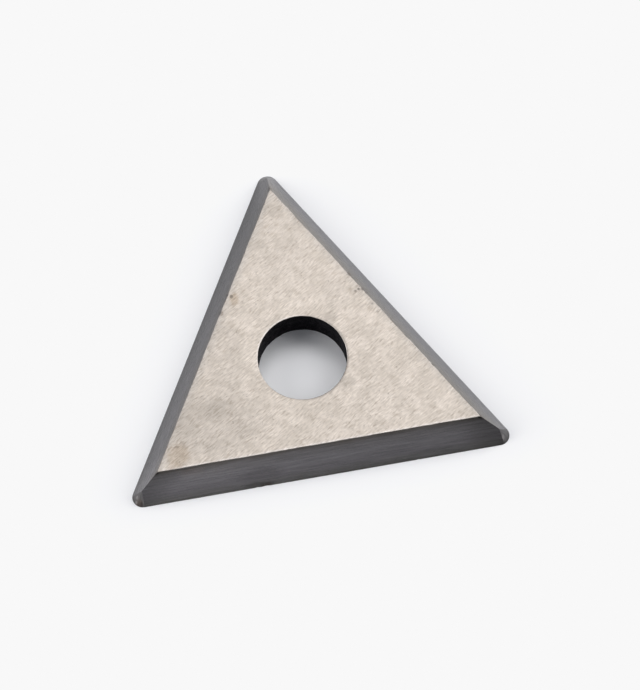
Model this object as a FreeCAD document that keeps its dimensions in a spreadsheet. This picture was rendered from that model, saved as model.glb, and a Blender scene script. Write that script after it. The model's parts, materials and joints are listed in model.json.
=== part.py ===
import FreeCAD, Part
import math
import os
import Sketcher

# Triangular scraper blade: one piece of solid cemented carbide, ground all round.
#
# The blade lies on its larger face. The three edges of that face are the cutting edges.
# Each flank leans inwards from its cutting edge up to the smaller face, on which the
# scraper's clamping screw seats. A round nose is ground on each tip at the flanks' own
# relief, so it is a cone that runs out to a point part of the way up the ridge.
# One plain hole goes straight through the middle for the screw.
#
# Frame, in millimetres: the origin is the centre of the hole on the larger face,
# +Z points up to the smaller face, one cutting edge runs along X on the -Y side
# and the tip opposite it points along +Y.

# Driving sizes, each written once. Lengths in millimetres, angles in degrees.
SIZES = {
    "blade_width": 25.0,     # across two rounded tips, the size that the blade is sold by
    "thickness": 2.38,       # from the larger face to the smaller one
    "relief_angle": 30.0,    # lean of each flank, measured from upright
    "nose_radius": 0.70,     # rounding of each tip on the larger face
    "hole_diameter": 5.85,   # straight through hole for the clamping screw
}
SHEET = "Sizes"
BLADE = "scraper_blade"
TIP_COUNT = 3
# An upright face's normal has less than this much of +Z in it.
LEVEL_TOLERANCE = 1e-6

# Sizes that follow from the driving ones, as formulas of the sheet.
# A round nose draws each tip in, so the sharp corners lie outside the blade's width.
SHARP_EDGE = f"({SHEET}.blade_width + 2 * {SHEET}.nose_radius * (sqrt(3) - 1))"
# The nose's axis is upright and two nose radii inside the sharp corner of the larger face.
NOSE_AXIS = f"({SHARP_EDGE} / sqrt(3) - 2 * {SHEET}.nose_radius)"
NOSE_HEIGHT = f"({SHEET}.nose_radius / tan({SHEET}.relief_angle))"
# The grinding cut starts outside the sharp corner, which is two nose radii from the axis.
NOSE_REACH = f"(3 * {SHEET}.nose_radius)"


def make_sheet(doc):
    """Write the driving sizes into a sheet, one named cell each."""
    sheet = doc.addObject("Spreadsheet::Sheet", SHEET)
    for row, (alias, value) in enumerate(SIZES.items(), start=1):
        sheet.set(f"A{row}", alias)
        sheet.set(f"B{row}", str(value))
        sheet.setAlias(f"B{row}", alias)
    doc.recompute()
    return sheet


def origin_feature(body, role):
    """Find one of the body's own origin planes or axes by its role."""
    for feature in body.Origin.OriginFeatures:
        if feature.Role == role:
            return feature
    raise RuntimeError(f"{body.Label} has no {role}")


def new_sketch(body, name, role):
    """Start a sketch flat on one of the body's own origin planes."""
    sketch = body.newObject("Sketcher::SketchObject", name)
    sketch.AttachmentSupport = (origin_feature(body, role), "")
    sketch.MapMode = "FlatFace"
    return sketch


def closed_polygon(sketch, points):
    """Draw a closed polygon through the points and join its corners."""
    corners = [FreeCAD.Vector(across, up, 0) for across, up in points]
    sides = []
    for number, start in enumerate(corners):
        end = corners[(number + 1) % len(corners)]
        sides.append(sketch.addGeometry(Part.LineSegment(start, end), False))
    for number, side in enumerate(sides):
        following = sides[(number + 1) % len(sides)]
        sketch.addConstraint(Sketcher.Constraint("Coincident", side, 2, following, 1))
    return sides


def dimension(sketch, name, formula, *constraint):
    """Add a named dimension to the sketch and bind it to a formula of the sheet."""
    index = sketch.addConstraint(Sketcher.Constraint(*constraint))
    sketch.renameConstraint(index, name)
    sketch.setExpression(f"Constraints.{name}", formula)


def draw_cutting_outline(body):
    """Sharp triangle of the cutting edges, centred on the hole, on the larger face."""
    sharp_edge = SIZES["blade_width"] + 2 * SIZES["nose_radius"] * (math.sqrt(3) - 1)
    inradius = sharp_edge / (2 * math.sqrt(3))
    sketch = new_sketch(body, "cutting_outline", "XY_Plane")
    front, right, left = closed_polygon(
        sketch,
        [(-sharp_edge / 2, -inradius), (sharp_edge / 2, -inradius), (0, 2 * inradius)],
    )
    circle = Part.Circle(FreeCAD.Vector(0, 0, 0), FreeCAD.Vector(0, 0, 1), inradius)
    inscribed = sketch.addGeometry(circle, True)
    sketch.addConstraint(Sketcher.Constraint("Coincident", inscribed, 3, -1, 1))
    for side in (front, right, left):
        sketch.addConstraint(Sketcher.Constraint("Tangent", side, inscribed))
    sketch.addConstraint(Sketcher.Constraint("Horizontal", front))
    sketch.addConstraint(Sketcher.Constraint("Equal", front, right))
    sketch.addConstraint(Sketcher.Constraint("Equal", front, left))
    dimension(sketch, "sharp_edge", SHARP_EDGE, "Distance", front, sharp_edge)
    return sketch


def pad_blank(body, outline):
    """Raise the outline straight up to the blade's thickness."""
    pad = body.newObject("PartDesign::Pad", "blank")
    pad.Profile = outline
    pad.setExpression("Length", f"{SHEET}.thickness")
    return pad


def upright_faces(feature):
    """Names of the feature's faces that stand upright, which are the blank's flanks."""
    names = []
    for number, face in enumerate(feature.Shape.Faces, start=1):
        if abs(face.normalAt(0, 0).z) < LEVEL_TOLERANCE:
            names.append(f"Face{number}")
    return names


def grind_flanks(body, blank):
    """Lean the flanks inwards about the cutting edges, which stay where they are."""
    flanks = body.newObject("PartDesign::Draft", "ground_flanks")
    flanks.Base = (blank, upright_faces(blank))
    flanks.NeutralPlane = (origin_feature(body, "XY_Plane"), [""])
    flanks.setExpression("Angle", f"{SHEET}.relief_angle")
    return flanks


def draw_nose_profile(body):
    """Section of the grinding cut on the tip at +Y, between the cone and open air."""
    radius = SIZES["nose_radius"]
    height = radius / math.tan(math.radians(SIZES["relief_angle"]))
    sharp_edge = SIZES["blade_width"] + 2 * radius * (math.sqrt(3) - 1)
    axis = sharp_edge / math.sqrt(3) - 2 * radius
    sketch = new_sketch(body, "nose_profile", "YZ_Plane")
    base, outside, lid, cone = closed_polygon(
        sketch,
        [(axis + radius, 0), (axis + 3 * radius, 0), (axis + 3 * radius, height), (axis, height)],
    )
    sketch.addConstraint(Sketcher.Constraint("PointOnObject", base, 1, -1))
    sketch.addConstraint(Sketcher.Constraint("Horizontal", base))
    sketch.addConstraint(Sketcher.Constraint("Vertical", outside))
    sketch.addConstraint(Sketcher.Constraint("Horizontal", lid))
    # The cut turns about this upright line.
    axis_line = Part.LineSegment(FreeCAD.Vector(axis, 0, 0), FreeCAD.Vector(axis, height, 0))
    centre = sketch.addGeometry(axis_line, True)
    sketch.addConstraint(Sketcher.Constraint("Vertical", centre))
    sketch.addConstraint(Sketcher.Constraint("PointOnObject", centre, 1, -1))
    sketch.addConstraint(Sketcher.Constraint("Coincident", centre, 2, cone, 1))
    dimension(sketch, "nose_axis", NOSE_AXIS, "DistanceX", -1, 1, centre, 1, axis)
    dimension(sketch, "nose_radius", f"{SHEET}.nose_radius", "DistanceX", centre, 1, base, 1, radius)
    dimension(sketch, "nose_height", NOSE_HEIGHT, "DistanceY", centre, 1, centre, 2, height)
    dimension(sketch, "nose_reach", NOSE_REACH, "DistanceX", centre, 1, base, 2, 3 * radius)
    return sketch


def grind_nose(body, profile):
    """Turn the section about the nose's axis from one flank round to the other."""
    nose = body.newObject("PartDesign::Groove", "ground_nose")
    nose.Profile = profile
    nose.ReferenceAxis = (profile, ["Axis0"])
    nose.Angle = 360 / TIP_COUNT
    nose.Midplane = True
    return nose


def repeat_on_tips(body, nose):
    """Repeat the nose on every tip, about the blade's own axis."""
    pattern = body.newObject("PartDesign::PolarPattern", "ground_noses")
    pattern.Originals = [nose]
    pattern.Axis = (origin_feature(body, "Z_Axis"), [""])
    pattern.Angle = 360
    pattern.Occurrences = TIP_COUNT
    body.Tip = pattern
    return pattern


def cut_screw_hole(body):
    """Cut the plain hole for the clamping screw straight through the middle."""
    sketch = new_sketch(body, "hole_outline", "XY_Plane")
    radius = SIZES["hole_diameter"] / 2
    circle = Part.Circle(FreeCAD.Vector(0, 0, 0), FreeCAD.Vector(0, 0, 1), radius)
    rim = sketch.addGeometry(circle, False)
    sketch.addConstraint(Sketcher.Constraint("Coincident", rim, 3, -1, 1))
    diameter = f"{SHEET}.hole_diameter"
    dimension(sketch, "hole_diameter", diameter, "Diameter", rim, 2 * radius)
    hole = body.newObject("PartDesign::Pocket", "screw_hole")
    hole.Profile = sketch
    hole.Type = "ThroughAll"
    hole.Reversed = True
    return hole


def check_cut(doc, body, volume_before):
    """Make sure that the latest cut took material away, and return what is left."""
    doc.recompute()
    volume = body.Shape.Volume
    if not volume < volume_before:
        raise RuntimeError(f"{body.Tip.Label} cut nothing")
    return volume


def make_blade(doc):
    """Build the blade in the order in which it is ground."""
    body = doc.addObject("PartDesign::Body", BLADE)
    body.Label = BLADE
    blank = pad_blank(body, draw_cutting_outline(body))
    doc.recompute()
    volume = body.Shape.Volume
    grind_flanks(body, blank)
    volume = check_cut(doc, body, volume)
    nose = grind_nose(body, draw_nose_profile(body))
    volume = check_cut(doc, body, volume)
    repeat_on_tips(body, nose)
    volume = check_cut(doc, body, volume)
    cut_screw_hole(body)
    check_cut(doc, body, volume)
    return body


def check_document(doc):
    """Stop if anything in the document failed to build."""
    for item in doc.Objects:
        if {"Invalid", "Error"} & set(item.State):
            raise RuntimeError(f"{item.Label} failed: {item.State}")


def export(body):
    """Check the finished solid and write it to a file named after its body."""
    shape = body.Shape
    if shape.isNull() or not shape.isValid() or len(shape.Solids) != 1:
        raise RuntimeError(f"{body.Label} is not one valid solid")
    shape.exportStep(f"parts/{body.Label}.step")
    box = shape.BoundBox
    print(f"{body.Label}: {shape.Volume:.3f} mm3, {len(shape.Faces)} faces")
    print(f"  X {box.XMin:.3f} to {box.XMax:.3f}")
    print(f"  Y {box.YMin:.3f} to {box.YMax:.3f}")
    print(f"  Z {box.ZMin:.3f} to {box.ZMax:.3f}")


def main():
    os.makedirs("parts", exist_ok=True)
    doc = FreeCAD.newDocument("scraper_blade_model")
    make_sheet(doc)
    blade = make_blade(doc)
    doc.recompute()
    check_document(doc)
    export(blade)


main()
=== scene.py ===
"""Triangular scraper blade of ground carbide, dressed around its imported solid.

The blade is one piece. It lies on its larger face, whose three sides are the cutting edges.
The model is made here again with its edge breaks, the nicks of use and the rough wall of its
hole, and each of its surfaces gets the finish of the real one.
"""

import json
import logging
import math
from dataclasses import dataclass, field
from enum import Enum
from functools import cache, reduce
from typing import Any, Callable, Iterable, NamedTuple, Optional, Union

import bmesh
import bpy
from mathutils import Matrix, Vector, noise


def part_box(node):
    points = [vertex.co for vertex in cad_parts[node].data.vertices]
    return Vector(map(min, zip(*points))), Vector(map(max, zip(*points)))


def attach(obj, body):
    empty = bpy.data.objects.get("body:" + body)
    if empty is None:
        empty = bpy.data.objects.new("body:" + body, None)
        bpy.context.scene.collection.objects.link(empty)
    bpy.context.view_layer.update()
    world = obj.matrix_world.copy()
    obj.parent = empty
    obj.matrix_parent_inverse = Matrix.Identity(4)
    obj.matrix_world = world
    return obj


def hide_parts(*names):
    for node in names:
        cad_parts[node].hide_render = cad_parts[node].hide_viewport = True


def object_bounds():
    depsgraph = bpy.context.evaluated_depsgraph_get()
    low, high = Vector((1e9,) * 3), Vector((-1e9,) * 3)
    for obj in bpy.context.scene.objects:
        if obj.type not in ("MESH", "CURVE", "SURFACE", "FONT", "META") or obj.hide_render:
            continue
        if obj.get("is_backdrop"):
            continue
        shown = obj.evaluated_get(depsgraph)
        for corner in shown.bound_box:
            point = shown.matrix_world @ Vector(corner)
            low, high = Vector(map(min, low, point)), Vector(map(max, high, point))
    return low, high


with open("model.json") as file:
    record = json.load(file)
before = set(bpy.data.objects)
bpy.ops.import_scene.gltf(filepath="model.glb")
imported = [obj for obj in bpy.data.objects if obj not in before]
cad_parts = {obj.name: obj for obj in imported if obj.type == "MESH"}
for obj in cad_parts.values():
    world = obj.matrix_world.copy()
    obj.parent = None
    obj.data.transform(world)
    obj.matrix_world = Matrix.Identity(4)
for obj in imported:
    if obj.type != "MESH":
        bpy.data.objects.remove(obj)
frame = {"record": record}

LOG = logging.getLogger("scraper_blade")
BODY = "root"
NODE = "scraper_blade"
SCREW_HOLE = "screw_hole"
# The map whose X runs along the grinding marks, in millimetres.
GRAIN_MAP = "grain"
IMAGE_WIDTH = 640
IMAGE_HEIGHT = 690

# The blade is modelled in millimetres and scaled to metres at the end, because its edge
# breaks are finer than the mesh tools' own tolerances in metres.
MM = 0.001
MM_PER_METRE = 1000.0
# Points nearer to each other than this, in millimetres, are one point.
WELD = 1e-4
# A point within this of a face's height, in millimetres, lies on that face.
LEVEL = 1e-3
UP = Vector((0.0, 0.0, 1.0))
WHITE = (1.0, 1.0, 1.0)

Socket = bpy.types.NodeSocket
Value = Union[float, Socket]
Pair = tuple[float, float]
Triple = tuple[float, float, float]
Colour = tuple[float, float, float]
Bands = tuple[tuple[float, Colour], ...]


def smooth_fall(ratio: float) -> float:
    """Return 1 at the middle of a dent and 0 at its rim, with no step at either."""
    return (1.0 - ratio * ratio) ** 2 if ratio < 1.0 else 0.0


def direction(compass: float, elevation: float = 0.0) -> Vector:
    """Return a direction by its degrees from +X towards +Y and its degrees up from level."""
    turn, rise = math.radians(compass), math.radians(elevation)
    return Vector((math.cos(turn) * math.cos(rise), math.sin(turn) * math.cos(rise), math.sin(rise)))


def into_scene(name: str, data: Any) -> bpy.types.Object:
    """Put a new object into the scene.

    Args:
        name: Its name.
        data: Its mesh, light or camera.

    Returns:
        The object, at the origin.
    """
    made = bpy.data.objects.new(name, data)
    bpy.context.scene.collection.objects.link(made)
    return made


class Zone(Enum):
    """The blade's surfaces, each with a finish of its own. The value is the material slot."""

    SEAT = 0
    BED = 1
    FRONT_FLANK = 2
    RIGHT_FLANK = 3
    LEFT_FLANK = 4
    NOSE = 5
    BORE = 6
    EDGE = 7


class Side(Enum):
    """The blade's three sides. The value is the compass angle that each faces, in degrees."""

    FRONT = 270
    RIGHT = 30
    LEFT = 150

    @property
    def outward(self) -> Vector:
        """Level direction that the side faces."""
        return direction(self.value)

    @property
    def along(self) -> Vector:
        """Level direction along the side, with the outside on its right hand."""
        return Vector((-self.outward.y, self.outward.x, 0.0))

    @property
    def flank(self) -> Zone:
        """Surface of the side's ground flank."""
        return Zone[f"{self.name}_FLANK"]

    @staticmethod
    def nearest(place: Vector) -> "Side":
        """Return the side that a place lies towards."""
        return max(Side, key=lambda side: side.outward.dot(place))

    @staticmethod
    def tip(place: Vector) -> Vector:
        """Return the level direction of the tip that a place lies towards."""
        return -min(Side, key=lambda side: side.outward.dot(place)).outward


class EdgeLine(Enum):
    """The two outlines of the blade that can be nicked."""

    SEAT = "seat"
    CUTTING = "cutting"


@dataclass(frozen=True)
class BladeForm:
    """Sizes of the blade in millimetres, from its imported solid, and what follows from them.

    The sides of the larger face, carried on to sharp corners, make a triangle whose inscribed
    circle is about the hole.
    """

    width: float
    thickness: float
    inradius: float
    hole_radius: float
    relief: float = math.radians(30.0)

    @classmethod
    def from_frame(cls) -> "BladeForm":
        """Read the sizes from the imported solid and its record.

        Returns:
            The blade's form.
        """
        low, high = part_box(NODE)
        mounts = {mount["name"]: mount for mount in frame["record"]["mounts"]}
        return cls(
            width=(high.x - low.x) / MM,
            thickness=(high.z - low.z) / MM,
            inradius=-low.y / MM,
            hole_radius=mounts[SCREW_HOLE]["dims"]["r_mm"],
        )

    @property
    def half_side(self) -> float:
        """Half a side of the sharp triangle."""
        return self.inradius * math.sqrt(3.0)

    @property
    def nose_radius(self) -> float:
        """Rounding of the tips, by which the width falls short of the sharp triangle's side."""
        return (2.0 * self.half_side - self.width) / (2.0 * (math.sqrt(3.0) - 1.0))

    @property
    def nose_height(self) -> float:
        """Height at which a tip's cone runs out to a point on the ridge."""
        return self.nose_radius / math.tan(self.relief)

    @property
    def nose_offset(self) -> float:
        """Distance of a nose's upright axis from the middle of the hole."""
        return 2.0 * self.inradius - 2.0 * self.nose_radius

    @property
    def seat_inradius(self) -> float:
        """Inscribed circle of the smaller face, from which the flanks lean outwards."""
        return self.inradius - self.thickness * math.tan(self.relief)


class Nick(NamedTuple):
    """A small piece knocked out of an edge, in millimetres.

    Attributes:
        side: Side of the blade that it is on.
        line: Which of the side's two edges it is in.
        place: Where it is along the side, from the side's middle.
        length: How far it runs along the edge.
        depth: How far its middle lies inside the whole edge.
    """

    side: Side
    line: EdgeLine
    place: float
    length: float
    depth: float


NICKS = (
    Nick(Side.LEFT, EdgeLine.SEAT, -1.15, 0.60, 0.030),
    Nick(Side.LEFT, EdgeLine.SEAT, -2.50, 0.30, 0.025),
    Nick(Side.RIGHT, EdgeLine.SEAT, 2.55, 0.42, 0.050),
    Nick(Side.RIGHT, EdgeLine.SEAT, 1.15, 0.38, 0.040),
    Nick(Side.RIGHT, EdgeLine.SEAT, 0.78, 0.28, 0.028),
    Nick(Side.RIGHT, EdgeLine.SEAT, -5.90, 0.30, 0.030),
    Nick(Side.FRONT, EdgeLine.CUTTING, -3.75, 0.60, 0.028),
    Nick(Side.FRONT, EdgeLine.CUTTING, -4.35, 0.40, 0.025),
    Nick(Side.FRONT, EdgeLine.CUTTING, 6.30, 0.25, 0.020),
)


class NodeBench:
    """Places the nodes of one tree and wires them together."""

    def __init__(self, tree: bpy.types.NodeTree) -> None:
        """Start on the tree of a material, a world or a group."""
        self.tree = tree

    def add(self, kind: str, fed: Optional[dict[Any, Any]] = None, **settings: Any) -> bpy.types.Node:
        """Add a node.

        Args:
            kind: Blender's name for the node's type.
            fed: What feeds its inputs, by their names or numbers.
            **settings: Properties of the node itself, by name.

        Returns:
            The new node.
        """
        node = self.tree.nodes.new(kind)
        for name, value in settings.items():
            setattr(node, name, value)
        self.feed(node, fed or {})
        return node

    def feed(self, node: bpy.types.Node, fed: dict[Any, Any]) -> None:
        """Feed a node's inputs.

        Args:
            node: The node.
            fed: Another node's output or a plain value for each input, by its name or number.
        """
        for name, value in fed.items():
            socket = node.inputs[name]
            if isinstance(value, Socket):
                self.tree.links.new(value, socket)
            else:
                socket.default_value = (*value, 1.0) if socket.type == "RGBA" else value

    def math(self, operation: str, first: Value, second: Value = 0.0) -> Socket:
        """Work out one number from two."""
        return self.add("ShaderNodeMath", {0: first, 1: second}, operation=operation).outputs[0]

    def product(self, *factors: Value) -> Socket:
        """Multiply two numbers or more."""
        return reduce(lambda whole, factor: self.math("MULTIPLY", whole, factor), factors)

    def vector(self, operation: str, first: Any, second: Any) -> Socket:
        """Work out one vector from two, or a number for DISTANCE and DOT_PRODUCT."""
        node = self.add("ShaderNodeVectorMath", {0: first, 1: second}, operation=operation)
        return node.outputs["Value" if operation in ("DISTANCE", "DOT_PRODUCT") else "Vector"]

    def noise(self, place: Socket, scale: Value, detail: float = 2.0, rough: float = 0.5) -> Socket:
        """Lay soft noise, from 0 to 1, with so many cells to one unit of the place."""
        fed = {"Vector": place, "Scale": scale, "Detail": detail, "Roughness": rough}
        return self.add("ShaderNodeTexNoise", fed).outputs["Fac"]

    def spread(self, value: Value, start: tuple[Value, Value], end: tuple[Value, Value]) -> Socket:
        """Map one range of a number onto another, smoothly and with the ends held."""
        fed = dict(zip(("Value", "From Min", "From Max", "To Min", "To Max"), (value, *start, *end)))
        return self.add("ShaderNodeMapRange", fed, interpolation_type="SMOOTHSTEP").outputs["Result"]

    def tint(self, mask: Value, base: Any, over: Any, blend: str = "MIX") -> Socket:
        """Lay one colour over another, by a mask from 0 to 1."""
        # The node's two colours come after its inputs for numbers and vectors.
        fed = {0: mask, 6: base, 7: over}
        return self.add("ShaderNodeMix", fed, data_type="RGBA", blend_type=blend).outputs[2]

    def scale(self, colour: Socket, factor: Socket) -> Socket:
        """Make a colour so many times as bright."""
        fed = {0: colour, "Scale": factor}
        return self.add("ShaderNodeVectorMath", fed, operation="SCALE").outputs["Vector"]

    def bands(self, value: Socket, whole: float, stops: Bands) -> Socket:
        """Lay bands of colour that run into each other.

        Args:
            value: Number that the bands follow, from 0.
            whole: Where it ends.
            stops: Where each colour is purest, and the colour.

        Returns:
            The colour.
        """
        node = self.add("ShaderNodeValToRGB", {"Fac": self.math("DIVIDE", value, whole)})
        ramp = node.color_ramp
        ramp.interpolation = "EASE"
        ramp.elements.remove(ramp.elements[1])
        ramp.elements[0].position = stops[0][0] / whole
        for place, _ in stops[1:]:
            ramp.elements.new(place / whole)
        for element, (_, colour) in zip(ramp.elements, stops):
            element.color = (*colour, 1.0)
        return node.outputs["Color"]

    def group(self, tree: bpy.types.NodeTree, **fed: Any) -> bpy.types.NodeOutputs:
        """Place a node group, with what feeds its inputs by name, and return its outputs."""
        return self.add("ShaderNodeGroup", fed, node_tree=tree).outputs


class GroupBench(NodeBench):
    """Bench on a new shader node group, whose results are numbers."""

    def __init__(self, name: str, vectors: tuple[str, ...], numbers: tuple[str, ...]) -> None:
        """Start the group with its inputs.

        Args:
            name: Name of the group.
            vectors: Names of the inputs that are vectors.
            numbers: Names of the inputs that are numbers.
        """
        super().__init__(bpy.data.node_groups.new(name, "ShaderNodeTree"))
        for label in (*vectors, *numbers):
            kind = "NodeSocketVector" if label in vectors else "NodeSocketFloat"
            self.tree.interface.new_socket(label, in_out="INPUT", socket_type=kind)
        self.given = self.add("NodeGroupInput").outputs

    def give(self, **results: Socket) -> bpy.types.NodeTree:
        """Give the group its outputs.

        Args:
            **results: What each output gives, by name.

        Returns:
            The finished group.
        """
        for label in results:
            self.tree.interface.new_socket(label, in_out="OUTPUT", socket_type="NodeSocketFloat")
        self.add("NodeGroupOutput", results)
        return self.tree


@cache
def grinding_group() -> bpy.types.NodeTree:
    """Build the marks of a grinding wheel: short strokes that start and stop.

    Returns:
        A group that takes a place in millimetres, with X along the strokes, and gives their
        height, the height of the finer marks on them, and both together.
    """
    drift_scale, fade_scale = 0.8, 1.5
    finer, elsewhere = (1.5, 1.5, 1.0), (17.3, 5.9, 0.0)
    stroke_share = 0.6
    bench = GroupBench("grinding_marks", ("Vector",), ("Along", "Across", "Wander"))
    given = bench.given
    drift = bench.math("SUBTRACT", bench.noise(given["Vector"], drift_scale, detail=1.0), 0.5)
    shift = bench.add("ShaderNodeCombineXYZ", {"Y": bench.product(drift, given["Wander"])})
    place = bench.vector("ADD", given["Vector"], shift.outputs["Vector"])
    stretch = bench.add("ShaderNodeCombineXYZ", {"X": given["Along"], "Y": given["Across"]})
    stretch = stretch.outputs["Vector"]
    strokes = bench.noise(bench.vector("MULTIPLY", place, stretch), 1.0, detail=1.0)
    fade = bench.spread(bench.noise(place, fade_scale), (0.38, 0.70), (0.55, 1.65))
    strokes = bench.math("ADD", bench.product(bench.math("SUBTRACT", strokes, 0.5), fade), 0.5)
    fine_place = bench.vector("ADD", place, elsewhere)
    fine_place = bench.vector("MULTIPLY", fine_place, bench.vector("MULTIPLY", stretch, finer))
    fine = bench.noise(fine_place, 1.0, rough=0.6)
    shares = bench.product(strokes, stroke_share), bench.product(fine, 1.0 - stroke_share)
    return bench.give(Strokes=strokes, Fine=fine, Height=bench.math("ADD", *shares))


@cache
def blotch_group() -> bpy.types.NodeTree:
    """Build soft uneven patches.

    Returns:
        A group that takes a place in millimetres and the patches' number to the millimetre,
        and gives a mask around 0.5.
    """
    bench = GroupBench("blotches", ("Vector",), ("Scale",))
    soft = bench.noise(bench.given["Vector"], bench.given["Scale"], detail=3.0, rough=0.55)
    return bench.give(Mask=soft)


@cache
def spot_group() -> bpy.types.NodeTree:
    """Build one spot with a broken edge.

    Returns:
        A group that takes a place, the spot's centre, its half widths and how ragged it is,
        and gives a mask that is 1 at the spot's middle.
    """
    break_scale = 5.0
    bench = GroupBench("spot", ("Vector", "Centre", "Size"), ("Ragged",))
    given = bench.given
    away = bench.vector("SUBTRACT", given["Vector"], given["Centre"])
    away = bench.vector("DISTANCE", bench.vector("DIVIDE", away, given["Size"]), (0.0, 0.0, 0.0))
    broken = bench.noise(given["Vector"], break_scale, detail=3.0, rough=0.65)
    broken = bench.product(bench.math("SUBTRACT", broken, 0.5), given["Ragged"])
    return bench.give(Mask=bench.spread(bench.math("ADD", away, broken), (0.45, 1.0), (1.0, 0.0)))


@cache
def edge_wear_and_highlight_group() -> bpy.types.NodeTree:
    """Build the mask of a band beside one side of a triangle about the hole, for the darker wear on
    two sides and the painted highlight on the front.

    Returns:
        A group that takes a place in millimetres, the direction that the side faces, its
        distance from the hole's middle, how far the band reaches in from the side and how
        strong it is there, and gives its mask.
    """
    bench = GroupBench("edge_wear", ("Vector", "Outward"), ("Inradius", "Reach", "Strength"))
    given = bench.given
    away = bench.vector("DOT_PRODUCT", given["Vector"], given["Outward"])
    inside = bench.math("SUBTRACT", given["Inradius"], away)
    return bench.give(Mask=bench.spread(inside, (0.0, given["Reach"]), (given["Strength"], 0.0)))


class Spot(NamedTuple):
    """A stain, pit, painted highlight or painted shade at one place on the blade, in millimetres.

    Attributes:
        centre: Its middle.
        size: Its half widths.
        colour: Its own colour.
        strength: How much of the surface's colour it covers.
        ragged: How broken its edge is.
    """

    centre: Triple
    size: Triple
    colour: Colour
    strength: float
    ragged: float = 0.6


GREY_SHADE_AND_WEAR: Colour = (0.33, 0.300, 0.272)
DEEP_WEAR: Colour = (0.26, 0.235, 0.208)
TAN_STAIN: Colour = (0.300, 0.250, 0.200)
BROWN_STAIN: Colour = (0.110, 0.082, 0.068)
DARK_BURN_AND_SHADE: Colour = (0.046, 0.044, 0.042)
DARK_PIT: Colour = (0.045, 0.038, 0.034)
GREY_FILM: Colour = (0.078, 0.074, 0.077)
PALE_STREAK_AND_HIGHLIGHT: Colour = (0.320, 0.300, 0.298)
WORN_EDGE: Colour = (0.355, 0.328, 0.302)
PAINTED_EDGE_HIGHLIGHT: Colour = (0.560, 0.530, 0.515)
PAINTED_RIM_SHADE: Colour = (0.245, 0.222, 0.205)

# The broad grey spots are partly painted shade: they darken the face most over its lower left, where
# it reflects less light. The smaller darker spots are uneven tone, and the rest are stains and pits.
SEAT_SPOTS = (
    Spot((-6.70, -3.60, 2.38), (4.60, 2.90, 9.0), GREY_SHADE_AND_WEAR, 0.42, 0.5),
    Spot((-6.10, -2.60, 2.38), (1.10, 1.05, 0.5), DEEP_WEAR, 0.42, 0.8),
    Spot((-7.60, -2.60, 2.38), (1.60, 1.30, 0.5), DEEP_WEAR, 0.20, 0.8),
    Spot((-8.60, -3.50, 2.38), (1.20, 1.20, 0.5), DEEP_WEAR, 0.26, 0.8),
    Spot((-4.70, -4.10, 2.38), (1.30, 0.80, 0.5), DEEP_WEAR, 0.22, 0.8),
    Spot((-7.00, -5.20, 2.38), (0.40, 0.35, 0.5), DEEP_WEAR, 0.30, 0.8),
    Spot((-5.10, 1.20, 2.38), (1.70, 4.60, 9.0), GREY_SHADE_AND_WEAR, 0.30, 0.5),
    Spot((0.00, 8.60, 2.38), (3.20, 4.20, 9.0), GREY_SHADE_AND_WEAR, 0.22, 0.5),
    Spot((-0.15, 10.70, 2.38), (0.85, 0.60, 0.5), DEEP_WEAR, 0.42, 0.8),
    Spot((1.30, 9.50, 2.38), (0.55, 0.70, 0.5), DEEP_WEAR, 0.30, 0.8),
    Spot((-1.50, 8.40, 2.38), (0.75, 0.55, 0.5), DEEP_WEAR, 0.34, 0.8),
    Spot((0.25, 7.85, 2.38), (0.50, 0.40, 0.5), DEEP_WEAR, 0.22, 0.8),
    Spot((2.90, 4.30, 2.38), (1.00, 2.20, 0.5), GREY_SHADE_AND_WEAR, 0.24, 0.8),
    Spot((2.25, 2.45, 2.38), (0.65, 0.55, 0.5), DEEP_WEAR, 0.46, 0.8),
    Spot((2.60, -2.20, 2.38), (0.75, 0.50, 0.5), DEEP_WEAR, 0.48, 0.8),
    Spot((7.30, -1.30, 2.38), (0.70, 0.55, 0.5), DEEP_WEAR, 0.20, 0.8),
    Spot((9.90, -5.70, 2.38), (0.90, 0.50, 0.5), DEEP_WEAR, 0.25, 0.8),
    Spot((4.40, 4.00, 2.38), (0.60, 0.60, 0.5), DEEP_WEAR, 0.28, 0.8),
    Spot((-9.08, -5.22, 2.38), (0.98, 1.02, 0.5), TAN_STAIN, 0.64, 0.9),
    Spot((-9.45, -5.95, 2.38), (0.65, 0.35, 0.5), TAN_STAIN, 0.40, 0.9),
    Spot((-9.18, -4.66, 2.38), (0.34, 0.10, 0.5), BROWN_STAIN, 0.40),
    Spot((-3.68, 4.90, 2.38), (0.42, 0.60, 0.5), TAN_STAIN, 0.75, 0.9),
    Spot((-3.83, 5.10, 2.38), (0.16, 0.15, 0.5), DARK_PIT, 0.60, 0.9),
    Spot((-4.68, 4.03, 2.38), (0.20, 0.26, 0.5), BROWN_STAIN, 0.45),
    Spot((4.49, 4.10, 2.38), (0.12, 0.11, 0.5), DARK_PIT, 0.70),
    Spot((4.27, 4.00, 2.38), (0.12, 0.11, 0.5), DARK_PIT, 0.55),
    Spot((5.17, 2.92, 2.38), (0.11, 0.11, 0.5), DARK_PIT, 0.40),
    Spot((5.42, 2.30, 2.38), (0.10, 0.10, 0.5), DARK_PIT, 0.35),
)
FRONT_SPOTS = (
    Spot((12.20, -7.00, 0.60), (3.40, 2.00, 3.4), DARK_BURN_AND_SHADE, 0.28, 0.5),
    Spot((-4.00, -7.00, 0.80), (1.90, 1.00, 1.1), GREY_FILM, 0.50, 0.7),
    Spot((-3.75, -7.45, 0.12), (0.46, 0.25, 0.26), DARK_PIT, 0.95, 0.9),
    Spot((-4.30, -7.35, 0.20), (1.30, 0.30, 0.28), DARK_BURN_AND_SHADE, 0.60, 0.8),
    Spot((-8.40, -6.40, 2.05), (1.10, 0.30, 0.40), BROWN_STAIN, 0.20),
    Spot((-7.40, -6.45, 1.80), (2.60, 0.60, 0.65), PALE_STREAK_AND_HIGHLIGHT, 0.06),
)
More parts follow.
